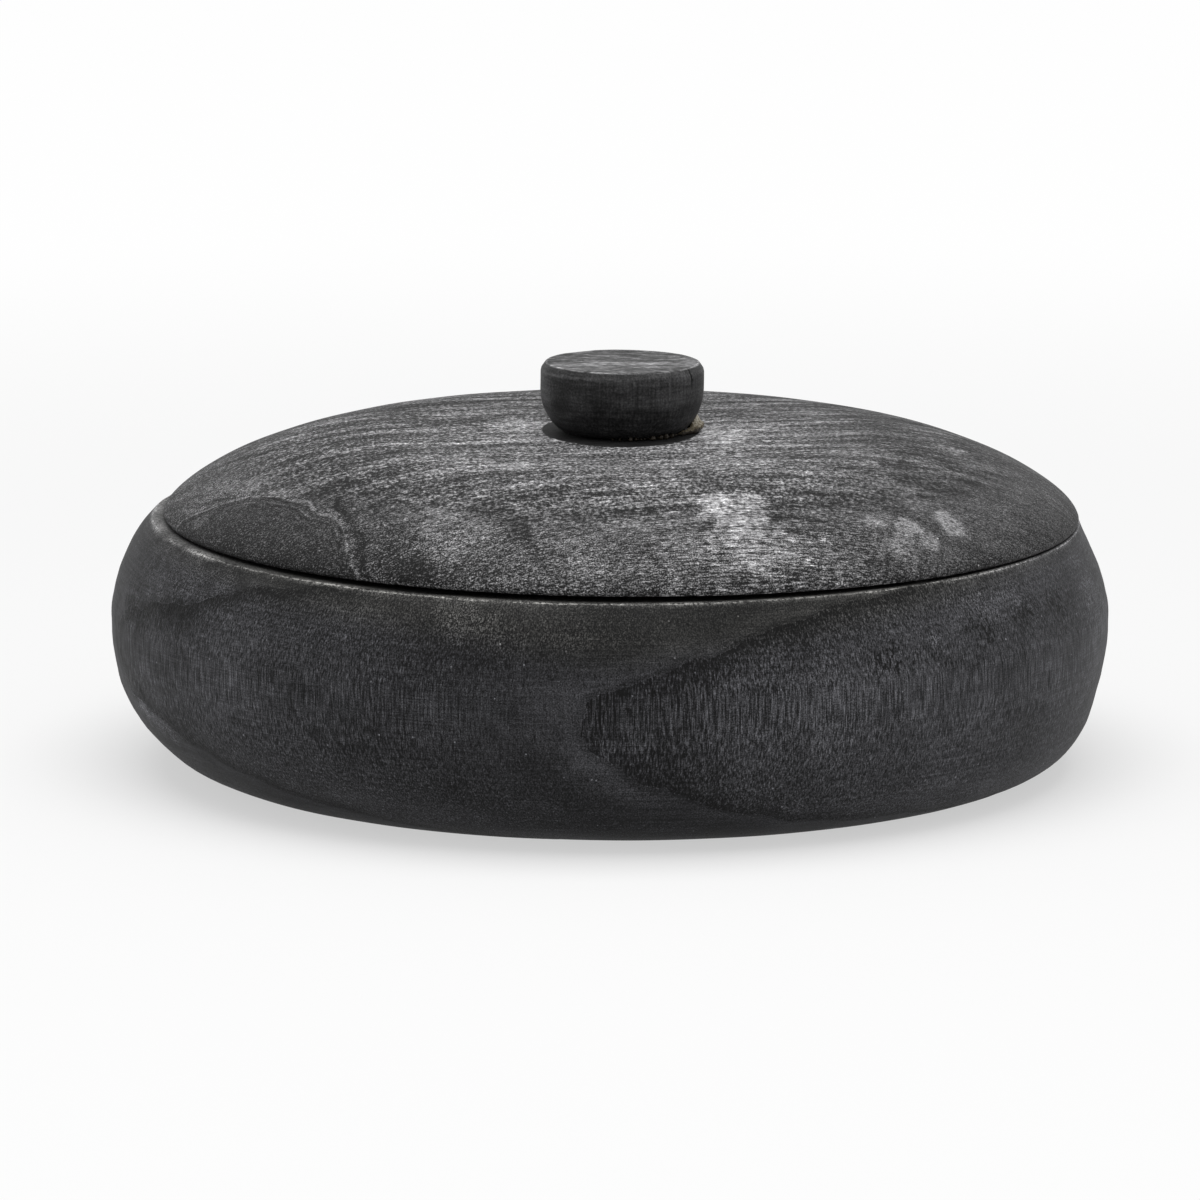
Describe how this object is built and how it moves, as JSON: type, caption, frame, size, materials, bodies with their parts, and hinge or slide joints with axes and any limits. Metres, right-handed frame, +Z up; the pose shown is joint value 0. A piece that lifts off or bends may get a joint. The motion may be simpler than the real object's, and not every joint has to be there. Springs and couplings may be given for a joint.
{
  "type": "lidded wooden bowl",
  "caption": "Low round lidded bowl turned from black-stained wood, with a bulging side, a shallow domed lid and a flat puck knob.",
  "frame": {"origin": "on the table, under the middle of the belly", "axes": "+Z up, the way the lid lifts off; +X along the grain of the lid, towards the side where the lid beds down; the picture looks along +Y"},
  "size_m": [0.32, 0.32, 0.13],
  "materials": {
    "stained_wood_bowl": "open-grained, black stained, dull, rubbed along the rim",
    "stained_wood_lid": "open-grained, black stained, dull, the stain rubbed thin over the crown",
    "stained_wood_knob": "open-grained, black stained, dull, the top edge rubbed",
    "bare_wood": "bare, unstained",
    "dried_glue": "dull yellow-grey, dusty"
  },
  "bodies": {
    "bowl": {"bowl": "stained_wood_bowl"},
    "lid": {"lid": "stained_wood_lid", "knob": "stained_wood_knob", "knob_dowel": "bare_wood", "glue_bead": "dried_glue"}
  },
  "joints": [
    {"name": "lid_lift", "type": "slide", "parent": "bowl", "child": "lid", "axis": [0, 0, 1], "range_m": [0, 0.12]}
  ]
}
